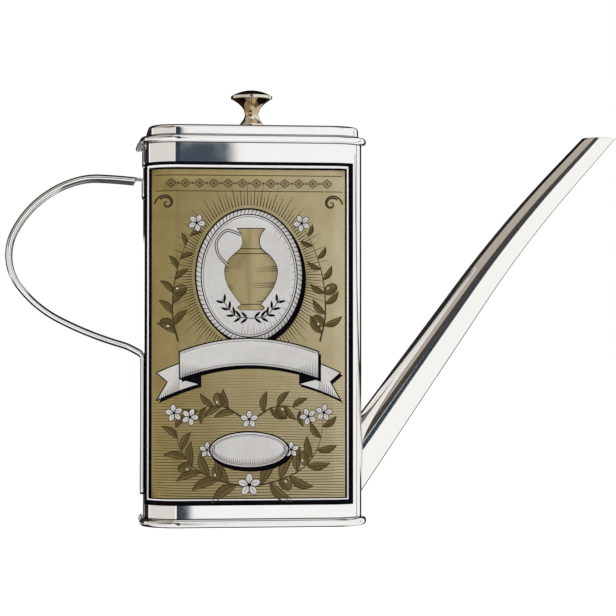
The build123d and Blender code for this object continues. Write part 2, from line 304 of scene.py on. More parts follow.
# Spring wire and curled leaf: bright but a little greyer, with a visible rolling grain
hinge_steel = sheet_metal("bright_hinge_steel", "#dcdcda", 0.08, 0.3, 0.0008, 0.0, 0.08)
# Zinc plate on the screw and washer: pale blue grey, softly blurred
zinc_steel = sheet_metal("zinc_plated_steel", "#c3c7cc", 0.30, 0.15, 0.004, 0.0, 0.12)
# Tin solder: dull, soft grey, with a lumpy skin
tin_solder = sheet_metal("wiped_tin_solder", "#c9c8c4", 0.34, 0.8, 0.010, 0.03, 0.12)
# Nickel on brass: a bright warm grey, with a browner band painted round the waist as a painted warm
# reflection
knob_nickel = turned_nickel()
# Gold lacquer on tinplate: translucent, so the metal below still shines through
# Painted light: the gold is lighter towards the spout's side, as if that side were lit more
gold_lacquer = printed_ink(
    "gold_lacquer_on_tin", "#9e8a54", "#8a783c", 0.5, 0.34, coat=0.15, lit_side_colours=("#c6ba98", "#b3a57b"),
)
# White line ink: the brightest tone of the print, laid solid
white_ink = printed_ink("solid_white_line_ink", "#fdfcfa", "#f4f2ef", 0.0, 0.4, gloss=0.3, coat=0.1)
# Black ink: deep and matt, so that it stays black at a slant
black_ink = printed_ink("black_litho_ink", "#08080c", "#101015", 0.0, 0.45, gloss=0.0, coat=0.0)
# Silver-white ink: a pale cool grey that is a little brighter where the ground shines through
silver_ink = printed_ink("silver_white_ink", "#dddbd8", "#c9c6c2", 0.15, 0.35)
# Brown line ink: the engraved lines, thin enough to let gold through
brown_ink = printed_ink("brown_line_ink", "#33270f", "#463716", 0.1, 0.35, gloss=0.2, coat=0.0)
# Leaf tone: a dull olive brown tint between the lines
leaf_ink = printed_ink("olive_brown_tint", "#76673a", "#64552c", 0.4, 0.38, gloss=0.3, coat=0.1)


# Surfaces from arrays

def quads(rows, columns, wrap_rows=False, wrap_columns=False):
    """Faces of a grid of points: each joins a point to the next along its row and column."""
    i = np.arange(rows if wrap_rows else rows - 1)
    j = np.arange(columns if wrap_columns else columns - 1)
    a, b = np.meshgrid(i, j, indexing="ij")
    c, d = (a + 1) % rows, (b + 1) % columns
    return np.stack([a * columns + b, a * columns + d, c * columns + d, c * columns + b], -1).reshape(-1, 4)


def bar_faces(rows, columns):
    """Faces of a grid that closes round its columns, and one more over each end."""
    ends = [list(range(columns)), list(range((rows - 1) * columns, rows * columns))]
    return quads(rows, columns, False, True).tolist() + ends


def joined(parts):
    """Several (points, faces) pairs as one pair, the faces' numbers moved on."""
    points, faces, start = [], [], 0
    for own_points, own_faces in parts:
        points.append(own_points.reshape(-1, 3))
        faces += [[v + start for v in face] for face in np_list(own_faces)]
        start += len(points[-1])
    return np.concatenate(points), faces


def np_list(faces):
    """Faces as plain lists, from an array or from lists."""
    return faces.tolist() if isinstance(faces, np.ndarray) else faces


def piece(name, points, faces, material, body, replaced=(), normals=None, sharp=35, closed=True):
    """A mesh from points and faces: equal points are welded, faces point out, edges over sharp stay."""
    points = points.reshape(-1, 3)
    rounded = np.round(points / (0.0002 * MM)).astype(np.int64)
    _, first, back = np.unique(rounded, axis=0, return_index=True, return_inverse=True)
    back = back.reshape(-1)
    welded = []
    for face in np_list(faces):
        kept = []
        for v in face:
            w = int(back[v])
            if not kept or w not in (kept[-1], kept[0]):
                kept.append(w)
        if len(kept) > 2:
            welded.append(kept)
    mesh = bpy.data.meshes.new(name)
    mesh.from_pydata(points[first].tolist(), [], welded)
    mesh.validate()
    if closed:
        edit = bmesh.new()
        edit.from_mesh(mesh)
        bmesh.ops.recalc_face_normals(edit, faces=edit.faces[:])
        edit.to_mesh(mesh)
        edit.free()
    mesh.shade_smooth()
    mesh.set_sharp_from_angle(angle=radians(sharp))
    if normals is not None:
        mesh.normals_split_custom_set_from_vertices(normals.reshape(-1, 3)[first].tolist())
    mesh.materials.append(material)
    made = bpy.data.objects.new(name, mesh)
    bpy.context.scene.collection.objects.link(made)
    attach(made, body)
    if replaced:
        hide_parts(*replaced)
    return made


def soften(corners, steps=5):
    """A closed outline with round corners, from (u, v, radius), anticlockwise, and its normals.

    Each corner becomes an arc tangent to both sides: the arc's centre lies off the first side by
    the radius, and its points turn from one side's normal to the other's."""
    places, normals = [], []
    for k, (_, _, radius) in enumerate(corners):
        before, here, after = (np.array(corners[(k + s) % len(corners)][:2]) for s in (-1, 0, 1))
        one = (here - before) / np.linalg.norm(here - before)
        two = (after - here) / np.linalg.norm(after - here)
        turn = np.arctan2(one[0] * two[1] - one[1] * two[0], one @ two)
        side = 1 if turn > 0 else -1
        out = np.array([one[1], -one[0]])
        centre = here - one * radius * tan(abs(turn) / 2) - out * radius * side
        angles = np.linspace(0, turn, steps + 1)[:, None]
        spun = out * np.cos(angles) + np.array([-out[1], out[0]]) * np.sin(angles)
        places.append(centre + spun * radius * side)
        normals.append(spun)
    return np.concatenate(places), np.concatenate(normals)


def outline_columns(corner_steps=24, long_steps=16, short_steps=12):
    """The tank's outline, anticlockwise: for each column a core point and an outward normal.

    A point of the wall is its core point plus the normal times the corner's radius, so a corner
    turns the normal about one core point and a flat slides the core point along."""
    centres, normals = [], []
    cores = np.array([(1, -1), (1, 1), (-1, 1), (-1, -1)]) * np.array([CORE_X, CORE_Y])
    for k, core in enumerate(cores):
        angles = radians(90) * (k - 1) + np.linspace(0, radians(90), corner_steps + 1)
        centres.append(np.repeat(core[None], corner_steps + 1, 0))
        normals.append(np.stack([np.cos(angles), np.sin(angles)], -1))
        steps = long_steps if k % 2 else short_steps
        slide = np.linspace(0, 1, steps + 1)[1:-1, None]
        centres.append(core + (cores[(k + 1) % 4] - core) * slide)
        normals.append(np.repeat(normals[-1][-1:], steps - 1, 0))
    return np.concatenate(centres), np.concatenate(normals)


def round_tank(profile, slopes, fill=None, columns=None):
    """A surface round the tank: profile gives (offset, height), slopes its normals, as a grid.

    fill, from 0 to 1, draws a level row in to the middle line, to close a panel."""
    centres, normals = columns or outline_columns()
    profile, slopes = np.asarray(profile), np.asarray(slopes)
    fill = np.zeros(len(profile)) if fill is None else fill
    inwards = np.stack([np.sign(centres[:, 0]) * CORE_Y, centres[:, 1]], -1)
    flat = centres - fill[:, None, None] * inwards + normals * (CORNER + profile[:, :1])[:, None]
    height = np.repeat(profile[:, 1:], len(centres), 1)
    up = np.repeat(slopes[:, 1:], len(centres), 1)
    slants = np.concatenate([normals * slopes[:, :1][:, None], up[:, :, None]], -1)
    return np.concatenate([flat, height[:, :, None]], -1), slants


def capped(profile, slopes, low, high, steps=3):
    """A panel's whole section: a level cap at the height low, the profile, and a cap at high.

    Each cap's rows run from the tank's middle line out to the corner's centre."""
    fill = np.linspace(1, 0, steps + 1)
    rows = np.ones((steps + 1, 2))
    return (
        np.concatenate([rows * (-CORNER, low), profile, rows * (-CORNER, high)]),
        np.concatenate([rows * (0.0, -1.0), slopes, rows * (0.0, 1.0)]),
        np.concatenate([fill, np.zeros(len(profile)), fill[::-1]]),
    )


# Spout

def spout_line(run):
    """The centre line's X and Z and its lean at a run from the wall: straight, arc, straight."""
    arc = np.clip(run, SPOUT_STRAIGHT, SPOUT_BEND_END) - SPOUT_STRAIGHT
    lean = SPOUT_ROOT_LEAN - arc / SPOUT_BEND
    first = np.minimum(run, SPOUT_STRAIGHT)
    last = np.maximum(run - SPOUT_BEND_END, 0)
    x = WALL_X + first * cos(SPOUT_ROOT_LEAN) + SPOUT_BEND * (sin(SPOUT_ROOT_LEAN) - np.sin(lean))
    z = SPOUT_ROOT_Z + first * sin(SPOUT_ROOT_LEAN) + SPOUT_BEND * (np.cos(lean) - cos(SPOUT_ROOT_LEAN))
    return x + last * cos(SPOUT_TIP_LEAN), z + last * sin(SPOUT_TIP_LEAN), lean


def spout_point(run, angle, inset):
    """A point of the tube: the centre line plus the radius, which tapers in two straight runs."""
    x, z, lean = spout_line(run)
    middle = (SPOUT_STRAIGHT + SPOUT_BEND_END) / 2
    tip_run = SPOUT_BEND_END + (SPOUT_TIP_Z - spout_line(SPOUT_BEND_END)[1]) / sin(SPOUT_TIP_LEAN)
    root, bend, tip = SPOUT_RADII
    first = root + (bend - root) * run / middle
    second = bend + (tip - bend) * (run - middle) / (tip_run - middle)
    blend = 1 / (1 + np.exp(-(run - middle) / (4 * MM)))
    radius = first * (1 - blend) + second * blend - inset
    out = radius * np.cos(angle)
    return np.stack([x - out * np.sin(lean), radius * np.sin(angle), z + out * np.cos(lean)], -1)


def spout_run(angle, inset, axis, place):
    """The run at which each line of the tube reaches a plane, found by halving."""
    low, high = (np.full(len(angle), limit) for limit in SPOUT_RUNS)
    for _ in range(40):
        middle = (low + high) / 2
        past = spout_point(middle, angle, inset)[:, axis] > place
        low, high = np.where(past, low, middle), np.where(past, middle, high)
    return (low + high) / 2


def make_spout():
    """The tube's outer side, its rounded rim and its bore, as one grid that closes on itself."""
    angle = np.linspace(0, 2 * pi, 97)[:-1]
    rows = []
    for inset, step in ((0.0, 1), (SPOUT_SHEET, -1)):
        start = spout_run(angle, inset, 0, WALL_X)
        end = spout_run(angle, inset, 2, SPOUT_TIP_Z - SPOUT_RIM)
        own = [spout_point(start + (end - start) * share, angle, inset) for share in np.linspace(0, 1, 91)]
        rows += own[::step]
        if step == 1:
            for inner in (SPOUT_RIM, SPOUT_SHEET - SPOUT_RIM):
                rows.append(spout_point(spout_run(angle, inner, 2, SPOUT_TIP_Z), angle, inner))
    faces = quads(len(rows), len(angle), True, True)
    piece("spout_tube", np.array(rows), faces, spout_steel, "root", ["spout"])


def make_spout_solder():
    """The wiped fillet where the tube meets the wall: a hollow quarter circle carried round."""
    angle = np.linspace(0, 2 * pi, 97)[:-1]
    sunk = 0.2 * MM
    rows = [spout_point(spout_run(angle, sunk, 0, WALL_X - sunk / 2), angle, sunk)]
    for turn in np.linspace(0, pi / 2, 7):
        inset = SOLDER_LEG * (cos(turn) - 1)
        run = spout_run(angle, inset, 0, WALL_X + SOLDER_LEG * (1 - sin(turn)))
        rows.append(spout_point(run, angle, inset))
    faces = quads(len(rows), len(angle), True, True)
    piece("spout_solder", np.array(rows), faces, tin_solder, "root")


# Tank

def hole_patch(grid, top, bottom, left, right):
    """A wall's window filled round the spout's bore: the window's rim joined to an ellipse.

    Each rim point of the window has one point on the bore, at the same angle about its axis."""
    outer = np.concatenate([
        grid[top, left:right], grid[top:bottom, right],
        grid[bottom, right:left:-1], grid[bottom:top:-1, left],
    ])
    place = outer[0, 0]
    turn = np.linspace(0, 2 * pi, 721)[:-1]
    bore = spout_point(spout_run(turn, SPOUT_SHEET, 0, place), turn, SPOUT_SHEET)
    middle = (bore[:, 2].max() + bore[:, 2].min()) / 2
    tall, wide = (bore[:, 2].max() - bore[:, 2].min()) / 2, bore[:, 1].max()
    turn = np.arctan2((outer[:, 2] - middle) / tall, outer[:, 1] / wide)
    ring = np.stack([np.full(len(turn), place), wide * np.cos(turn), middle + tall * np.sin(turn)], -1)
    shares = np.array([0.0, 0.5, 1.0])[:, None, None]
    return outer * (1 - shares) + ring * shares


def make_tank():
    """The wall as one closed sheet: hook, outer side, hem and inner side, with the spout's hole."""
    low, top, hem, bends = TANK_FOOT, TANK_TOP, TANK_TOP - HEM, 4
    profile, slopes = soften([
        (HOOK, low, FOLD), (HOOK, low + SHEET, FOLD), (0, low + SHEET, FOLD), (0, top, 2 * FOLD),
        (-2 * SHEET, top, 2 * FOLD), (-2 * SHEET, hem, FOLD), (-SHEET, hem, FOLD), (-SHEET, low, FOLD),
    ], bends)
    rungs = np.linspace(*HOLE_HEIGHTS, HOLE_ROWS)
    level = np.array([[1.0, 0.0]] * HOLE_ROWS)
    # The rungs stand after the outer side's lower corner, the third, and after the inner side's upper one
    outer_at, inner_at = 3 * (bends + 1), 7 * (bends + 1)
    profile = np.concatenate([
        profile[:outer_at], np.stack([0 * rungs, rungs], -1), profile[outer_at:inner_at],
        np.stack([0 * rungs - SHEET, rungs[::-1]], -1), profile[inner_at:],
    ])
    slopes = np.concatenate([slopes[:outer_at], level, slopes[outer_at:inner_at], -level, slopes[inner_at:]])
    grid, normals = round_tank(profile, slopes)
    faces = quads(*grid.shape[:2], True, True)
    row, column = np.divmod(faces[:, 0], grid.shape[1])
    (left, right), span = HOLE_COLUMNS, HOLE_ROWS - 1
    kept = np.ones(len(faces), bool)
    patches = []
    for start in (outer_at, inner_at + HOLE_ROWS):
        kept &= ~((column >= left) & (column < right) & (row >= start) & (row < start + span))
        patches.append(hole_patch(grid, start, start + span, left, right))
    outer, inner = patches[0][-1], patches[1][-1]
    nearest = np.argmin(((outer[:, None] - inner[None]) ** 2)[:, :, 1:].sum(-1), 1)
    count = len(outer)
    points, all_faces = joined(
        [(grid, faces[kept])] + [(patch, quads(3, count, False, True)) for patch in patches]
        + [(np.stack([outer, inner[nearest]]), quads(2, count, False, True))]
    )
    ways = [[1.0, 0.0, 0.0], [-1.0, 0.0, 0.0], [0.0, 0.0, 0.0]]
    sides = np.repeat(ways, [3 * count, 3 * count, 2 * count], 0)
    every = np.concatenate([normals.reshape(-1, 3), sides])
    piece("tank_wall", points, all_faces, tank_steel, "root", ["tank_shell"], every)


def make_weld():
    """The lapped weld down the middle of the back: a low half ellipse carried up the wall."""
    turn = np.linspace(0, pi, 13)
    heights = np.linspace(FOOT_HEIGHT + SEAM_GAP, TANK_TOP - HEM, 60)[:, None]
    ripple = 1 + WELD_RIPPLE[0] * np.sin(heights / WELD_RIPPLE[1])
    x = np.cos(turn) * WELD_WIDTH / 2 * ripple
    y = WALL_Y + (np.sin(turn) * WELD_RISE - CREASE) * np.ones_like(heights)
    grid = np.stack([x, y, heights + 0 * x], -1)
    piece("back_weld", grid, bar_faces(*grid.shape[:2]), tank_steel, "root")


# Foot

def make_foot():
    """The pan as one closed sheet: the recessed panel with its bead, and the rolled rim."""
    panel, inside = FOOT_PANEL, FOOT_PANEL + FOOT_SHEET
    bead_out, bead_in = FOOT_BEAD
    wide_out, wide_in = bead_out + FOOT_SHEET, bead_in - FOOT_SHEET
    roll = min(FOOT_OUT, FOOT_HEIGHT / 2) - SEAM_GAP
    slot_out, slot_in, slot_low, bends = 0.07 * MM, -0.53 * MM, 0.6 * MM, 6
    profile, slopes = soften([
        (bead_in, panel, FOOT_BEND), (bead_in, panel - FOOT_DIP, FOOT_BEND),
        (bead_out, panel - FOOT_DIP, FOOT_BEND), (bead_out, panel, FOOT_BEND), (-FOOT_IN, panel, 0.25 * MM),
        (-FOOT_IN, 0, FOOT_BEND), (FOOT_OUT, 0, roll), (FOOT_OUT, FOOT_HEIGHT, roll),
        (slot_out, FOOT_HEIGHT, CREASE), (slot_out, slot_low, CREASE), (slot_in, slot_low, CREASE),
        (slot_in, FOOT_HEIGHT, SEAM_GAP), (-FOOT_IN, FOOT_HEIGHT, CREASE), (-FOOT_IN, inside, CREASE),
        (wide_out, inside, FOOT_BEND), (wide_out, inside - FOOT_DIP, 0.1 * MM),
        (wide_in, inside - FOOT_DIP, 0.1 * MM), (wide_in, inside, FOOT_BEND),
        (-CORNER, inside, 0), (-CORNER, panel, 0),
    ], bends)
    # The last two corners only close the outline, and the caps take their place
    keep = len(profile) - 2 * (bends + 1)
    profile, slopes, fill = capped(profile[:keep], slopes[:keep], panel, inside)
    grid, normals = round_tank(profile, slopes, fill)
    faces = quads(*grid.shape[:2], False, True)
    piece("foot_pan", grid, faces, foot_steel, "root", ["base_pan"], normals)


# Lid

def make_lid():
    """The pressing as one closed sheet: ceiling, hollow side, wired edge, plateau and top.

    Near the hinge the wired edge is cut level from below, to leave room for the barrel."""
    ledge, ceiling = BEAD_TOP - SHEET, LID_TOP - SHEET
    curl = 0.48 * (BEAD_TOP - BEAD_LOW)
    hollow, small, bends = -PLATEAU_IN - SHEET, 0.1 * MM, 8
    profile, slopes = soften([
        (-CORNER, ceiling, 0), (hollow, ceiling, 1.0 * MM), (hollow, ledge, small),
        (LID_EDGE_IN, ledge, small), (LID_EDGE_IN, BEAD_LOW, small), (BEAD_OUT, BEAD_LOW, curl),
        (BEAD_OUT, BEAD_TOP, curl), (-PLATEAU_IN, BEAD_TOP, 0.15 * MM), (-PLATEAU_IN, LID_TOP, 1.5 * MM),
        (-CORNER, LID_TOP, 0),
    ], bends)
    # The first and last corners only close the outline, and the caps take their place
    inner = slice(bends + 1, -bends - 1)
    profile, slopes, fill = capped(profile[inner], slopes[inner], ceiling, LID_TOP)
    centres, normals = outline_columns()
    half = BARREL / 2 + 0.7 * MM
    hinge_side = np.flatnonzero((centres[:, 0] < 0) & (normals[:, 0] < -0.9999))
    before = hinge_side[centres[hinge_side, 1] > half][-1]
    after = hinge_side[centres[hinge_side, 1] < -half][0]
    steps = np.array([half, half, 4 * MM, 0.0, -4 * MM, -half, -half])
    extra = np.stack([np.full(7, -CORE_X), steps], -1)
    centres = np.concatenate([centres[:before + 1], extra, centres[after:]])
    normals = np.concatenate([normals[:before + 1], np.array([[-1.0, 0.0]] * 7), normals[after:]])
    grid, slants = round_tank(profile, slopes, fill, (centres, normals))
    notch = PIN_Z + PIN_RADIUS + CURL_SHEET + 0.36 * MM
    bead = profile[:, 0] > LID_EDGE_IN - 0.001 * MM
    cut = grid[:, before + 2:before + 7, 2]
    cut[bead[:, None] & (cut < notch)] = notch
    slants[bead & (profile[:, 1] < notch + 0.4 * MM), before + 1:before + 8] = 0.0
    faces = quads(*grid.shape[:2], False, True)
    piece("lid_cover", grid, faces, lid_steel, "lid", ["lid_pan"], slants)


# Hinge

def curl_outline(start, steps=40):
    """A curled ear seen from its end: a ring round the pin, open by a slit, with its stem.

    The ring's inner and outer circles are walked one way and back, from the stem to the slit."""
    inner = PIN_RADIUS + CURL_GAP
    angles = start + np.linspace(0, CURL_TURN, steps)
    out = np.stack([np.cos(angles), np.sin(angles)], -1)
    return np.concatenate([out * (inner + CURL_SHEET), out[::-1] * inner]) + np.array([PIN_X, PIN_Z])


def prism(outline, low, high, bevel=0.06 * MM):
    """An outline in X and Z carried along Y, with small chamfers at both ends."""
    edges = np.roll(outline, -1, 0) - np.roll(outline, 1, 0)
    normals = np.stack([edges[:, 1], -edges[:, 0]], -1)
    normals /= np.linalg.norm(normals, axis=1)[:, None]
    rows = []
    for y, inset in ((low, bevel), (low + bevel, 0), (high - bevel, 0), (high, bevel)):
        flat = outline - normals * inset
        rows.append(np.stack([flat[:, 0], np.full(len(flat), y), flat[:, 1]], -1))
    return np.array(rows), bar_faces(4, len(outline))


def round_box(left, right, low, high, foot, head, steps=3):
    """A rectangle's outline, with one radius at its lower corners and one at its upper."""
    return soften([(left, low, foot), (right, low, foot), (right, high, head), (left, high, head)], steps)[0]


def make_hinge():
    """The leaf on the wall with its two ears, and the lid's own ear with its web."""
    half, edge = BARREL / 2, 0.08 * MM
    neck = PIN_Z - PIN_RADIUS - CURL_SHEET - 0.2 * MM
    plate = round_box(-half, half, LEAF_LOW, neck, 1.5 * MM, SEAM_GAP, 6)
    rows = []
    for x, inset in ((0.0, 0.0), (LEAF_SHEET - edge, 0.0), (LEAF_SHEET, edge)):
        pulled = plate.mean(0) + (plate - plate.mean(0)) * (1 - inset / half)
        rows.append(np.stack([np.full(len(plate), -WALL_X - x), pulled[:, 0], pulled[:, 1]], -1))
    parts = [(np.array(rows), bar_faces(3, len(plate)))]
    stem = round_box(-WALL_X - LEAF_SHEET, -WALL_X, neck - 0.4 * MM, PIN_Z, CREASE, 0.2 * MM)
    for sign in (-1, 1):
        span = sorted((sign * (LID_CURL / 2 + CURL_PLAY), sign * half))
        parts += [prism(curl_outline(LEAF_CURL_START), *span), prism(stem, *span)]
    points, faces = joined(parts)
    piece("hinge_leaf_ears", points, faces, hinge_steel, "root", ["hinge_leaf"])
    web_low, web_top = PIN_Z + PIN_RADIUS + 0.1 * MM, BEAD_TOP - 0.6 * MM
    web = round_box(PIN_X - CURL_SHEET / 2, PIN_X + CURL_SHEET, web_low, web_top, CREASE, SEAM_GAP)
    outlines = (curl_outline(LID_CURL_START), web)
    points, faces = joined([prism(flat, -LID_CURL / 2, LID_CURL / 2) for flat in outlines])
    piece("lid_ear", points, faces, lid_steel, "lid")


# Knob

def smooth_line(points, steps):
    """A smooth line through a few points: a Catmull-Rom cubic between each pair."""
    points = np.array(points, float)
    p = np.concatenate([2 * points[:1] - points[1:2], points, 2 * points[-1:] - points[-2:-1]])
    t = np.linspace(0, 1, steps + 1)[:-1, None]
    runs = []
    for a, b, c, d in zip(p, p[1:], p[2:], p[3:]):
        bent = (2 * a - 5 * b + 4 * c - d) * t ** 2 + (3 * b - a - 3 * c + d) * t ** 3
        runs.append(0.5 * (2 * b + (c - a) * t + bent))
    return np.concatenate(runs + [points[-1:]])


def make_knob(steps=96):
    """The turned knob: dome, round edge, flared stem, waist and foot, all turned about the axis."""
    top, low = KNOB_HEIGHT - KNOB_RIM[0], KNOB_HEIGHT - KNOB_RIM[1] - 0.1 * MM
    sag = KNOB_RIM[0]
    dome_radius = (KNOB_RADIUS ** 2 + sag ** 2) / (2 * sag)
    out = np.linspace(0, KNOB_RADIUS, 22)
    dome = np.stack([out, KNOB_HEIGHT - dome_radius + np.sqrt(dome_radius ** 2 - out ** 2)], -1)
    edge = soften([
        (KNOB_RADIUS - 0.5 * MM, top + 0.09 * MM, 0), (KNOB_RADIUS + 0.3 * MM, top - 0.06 * MM, 0.2 * MM),
        (KNOB_RADIUS + 0.24 * MM, low, 0.2 * MM), (KNOB_RADIUS - 0.4 * MM, low, 0),
    ], 6)[0][7:21]
    stem = smooth_line(KNOB_STEM, 8) * MM
    profile = np.concatenate([dome, edge, stem, np.array(KNOB_FOOT) * MM])
    angle = np.linspace(0, 2 * pi, steps + 1)[:-1]
    radius, height = profile[:, :1], profile[:, 1:]
    grid = np.stack([radius * np.cos(angle), radius * np.sin(angle), LID_TOP + height + 0 * angle], -1)
    faces = quads(len(profile), steps, False, True)
    piece("turned_knob", grid, faces, knob_nickel, "lid", ["lid_knob"], sharp=40)


# Handle

def walk(start, heading, bends, step):
    """A flat path of tangent bends: equal short steps, each turned by its share of the bend.

    bends are (radius, turn), with a turn of 0 for a straight whose length is the radius."""
    points, headings = [np.array([start])], [[heading]]
    for radius, turn in bends:
        length = radius if turn == 0 else radius * abs(turn)
        count = max(3, int(length / step), int(abs(turn) / radians(2.5)))
        angles = heading + turn * (np.arange(count) + 0.5) / count
        moves = np.stack([np.cos(angles), np.sin(angles)], -1) * length / count
        points.append(points[-1][-1] + np.cumsum(moves, 0))
        headings.append(heading + turn * np.arange(1, count + 1) / count)
        heading += turn
    return np.concatenate(points), np.concatenate(headings)


def strap_section(width, roll, across):
    """The strap's section at one station, as (side, depth): plate, then a roll at each edge.

    roll is the rolls' radius, and half the sheet's thickness where the edge is plain."""
    end = pi - np.arcsin(np.clip((STRAP_SHEET - roll) / roll, -1, 1))
    turn = -pi / 2 + (end + pi / 2) * across
    reach = min(roll * STRAP_ROLL_FLATNESS, width / 2 - STRAP_SHEET / 4)
    right = np.stack([width / 2 - reach + reach * np.cos(turn), roll + roll * np.sin(turn)], -1)
    return np.concatenate([right, right[::-1] * np.array([-1, 1])])


def make_handle():
    """The strap from tab to tail: its section carried along a flat path, with changing edges.

    The tab's bend takes up the start of the first arc, and the tail's bend meets the wall."""
    arcs = [(share * HANDLE_REACH, radians(turn)) for share, turn in zip(BEND_RADIUS_SHARES, BEND_TURNS)]
    used = TAB_BEND / cos(HANDLE_LEAN)
    early = used / arcs[0][0]
    turn_in = pi / 2 - HANDLE_LEAN + early
    tab_flat = TAB_LENGTH - TAB_BEND
    bends = [(tab_flat, 0), (TAB_BEND, turn_in), (arcs[0][0], arcs[0][1] - early)] + arcs[1:]
    rise = TAB_BEND * sin(turn_in) - used * sin(HANDLE_LEAN)
    line, headings = walk((-WALL_X, HANDLE_TOP - tab_flat - rise), pi / 2, bends, STRAP_STEP)
    left_over = headings[-1] - 1.5 * pi
    gap = -line[-1][0] - WALL_X - 2 * TAIL_ROLL
    straight = (gap - TAIL_BEND * (1 - cos(left_over))) / sin(left_over)
    tail_top = line[-1][1] - straight * cos(left_over) - TAIL_BEND * sin(left_over)
    tail_bends = [(straight, 0), (TAIL_BEND, -left_over), (tail_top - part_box("handle_strap")[0].z, 0)]
    tail, tail_headings = walk(line[-1], headings[-1], tail_bends, STRAP_STEP)
    tail_bend = len(line) + int(np.argmax(tail_headings < headings[-1] - 0.001))
    line = np.concatenate([line, tail[1:]])
    headings = np.concatenate([headings, tail_headings[1:]])
    run = np.concatenate([[0], np.cumsum(np.linalg.norm(np.diff(line, axis=0), axis=1))])
    tab_end = tab_flat + TAB_BEND * turn_in + TAB_SETBACK
    rolls_end = run[tail_bend - 1]
    across = np.linspace(0, 1, 24)
    rows = []
    for at, here, heading in zip(run, line, headings):
        if at < tab_end:
            width, roll = TAB_WIDTH, STRAP_SHEET / 2
        else:
            fade = np.clip((at - rolls_end) / (TAIL_BEND * left_over), 0, 1)
            narrow = max(0, at - rolls_end) / (run[-1] - rolls_end)
            width = STRAP_WIDTH + (TAIL_WIDTH - STRAP_WIDTH) * narrow
            roll = STRAP_ROLL + (TAIL_ROLL - STRAP_ROLL) * fade
        near = min(at, run[-1] - at)
        if near < TAIL_CORNER:
            width -= 2 * (TAIL_CORNER - (TAIL_CORNER ** 2 - (TAIL_CORNER - near) ** 2) ** 0.5)
        section = strap_section(width, roll, across)
        flat = here + section[:, 1:] * np.array([-np.sin(heading), np.cos(heading)])
        rows.append(np.stack([flat[:, 0], section[:, 0], flat[:, 1]], -1))
    faces, body, slot = bar_faces(len(rows), 2 * len(across)), "root", "handle_steel"
    piece("strap_handle", np.array(rows), faces, strap_steel, body, ["handle_strap"], sharp=50)


# Print, drawn flat in millimetres, along X and Z, in layers that become one piece each

HAIR = 0.2
INK_DEPTH = 0.008
LAYERS = {}


def ink(layer, *shapes):
    """Adds shapes, each (points, faces), to a layer."""
    LAYERS.setdefault(layer, []).extend(shapes)


def on_wall(flat, height):
    """Points of the flat design laid on the tank at a height off its steel.

    Past the front's flat, the design's X gives the angle round the corner."""
    x, z = flat[..., 0] * MM, flat[..., 1] * MM
    angle = np.arcsin(np.clip((np.abs(x) - CORE_X) / CORNER, 0, 0.9999))
    px = np.sign(x) * (np.minimum(np.abs(x), CORE_X) + (CORNER + height) * np.sin(angle))
    return np.stack([px, -CORE_Y - (CORNER + height) * np.cos(angle), z], -1)


def lay(layer, height, material):
    """One piece from a layer's shapes, each a hair above the last so that none share a plane."""
    step = 0.0005
    points, faces = joined([
        (on_wall(flat, (height + step * (k % 17)) * MM), own) for k, (flat, own) in enumerate(LAYERS[layer])
    ])
    name = "print_" + layer
    made = piece(name, points, faces, material, "root", closed=False, sharp=80)
    thick = made.modifiers.new("ink_thickness", "SOLIDIFY")
    thick.thickness = INK_DEPTH * MM
    thick.offset = -1
    return made


def bend_columns(sign, near, far):
    """X values round one corner, even in angle, from a near edge to a far one."""
    core, corner = CORE_X / MM, CORNER / MM
    start, end = (np.arcsin(np.clip((sign * x - core) / corner, 0, 0.9999)) for x in (near, far))
    steps = 4 if start > 0 else max(2, int(degrees(end) / 2))
    return sign * (core + corner * np.sin(np.linspace(start, end, steps + 1))) if end > start else np.zeros(0)


def bar(left, right, low, high, rows=2):
    """A rectangle as a grid that bends with the wall, with closer columns round the corners."""
    flat = CORE_X / MM
    if right < -flat:
        xs = bend_columns(-1, right, left)[::-1]
    elif left > flat:
        xs = bend_columns(1, left, right)
    else:
        xs = np.concatenate([
            bend_columns(-1, -flat, left)[:0:-1], np.linspace(max(left, -flat), min(right, flat), 24),
            bend_columns(1, flat, right)[1:],
        ])
    grid = np.stack(np.meshgrid(xs, np.linspace(low, high, rows), indexing="xy"), -1)
    return grid, quads(rows, len(xs))


def border(edges, sides):
    """A frame of four bars with its own thickness on each side; returns bars and inner edges."""
    left, right, low, high = edges
    inner = (left + sides[0], right - sides[1], low + sides[2], high - sides[3])
    bars = [
        bar(left, right, low, inner[2]), bar(left, right, inner[3], high),
        bar(left, inner[0], inner[2], inner[3]), bar(inner[1], right, inner[2], inner[3]),
    ]
    return bars, inner


def stroke(line, widths, closed=False):
    """A drawn line: each point moved both ways along the line's normal by half the width."""
    line = np.asarray(line, float)
    along = np.roll(line, -1, 0) - np.roll(line, 1, 0) if closed else np.gradient(line, axis=0)
    along /= np.linalg.norm(along, axis=1)[:, None] + 1e-12
    across = np.stack([-along[:, 1], along[:, 0]], -1) * (np.ones(len(line)) * widths)[:, None] / 2
    return np.stack([line - across, line + across]), quads(2, len(line), False, closed)


def disc(edge, centre, rings=4):
    """A filled shape: rings drawn in from its edge to a centre."""
    shares = np.linspace(1, 0, rings + 1)[:, None, None]
    return centre + (edge - centre) * shares, quads(rings + 1, len(edge), False, True)


def ellipse(at, wide, tall, count=96):
    """The points of an ellipse, anticlockwise."""
    angle = np.linspace(0, 2 * pi, count + 1)[:-1]
    return at + np.stack([wide * np.cos(angle), tall * np.sin(angle)], -1)


def rim(at, wide, tall, angle):
    """The point of an ellipse at one angle."""
    return at + np.array([wide * cos(angle), tall * sin(angle)])


def oval(at, wide, tall, count=96, rings=4):
    """A filled ellipse."""
    return disc(ellipse(at, wide, tall, count), at, rings)


def turned(points, angle, at):
    """Points turned about the origin, then moved."""
    c, s = cos(angle), sin(angle)
    return np.asarray(points, float) @ np.array([[c, s], [-s, c]]) + at


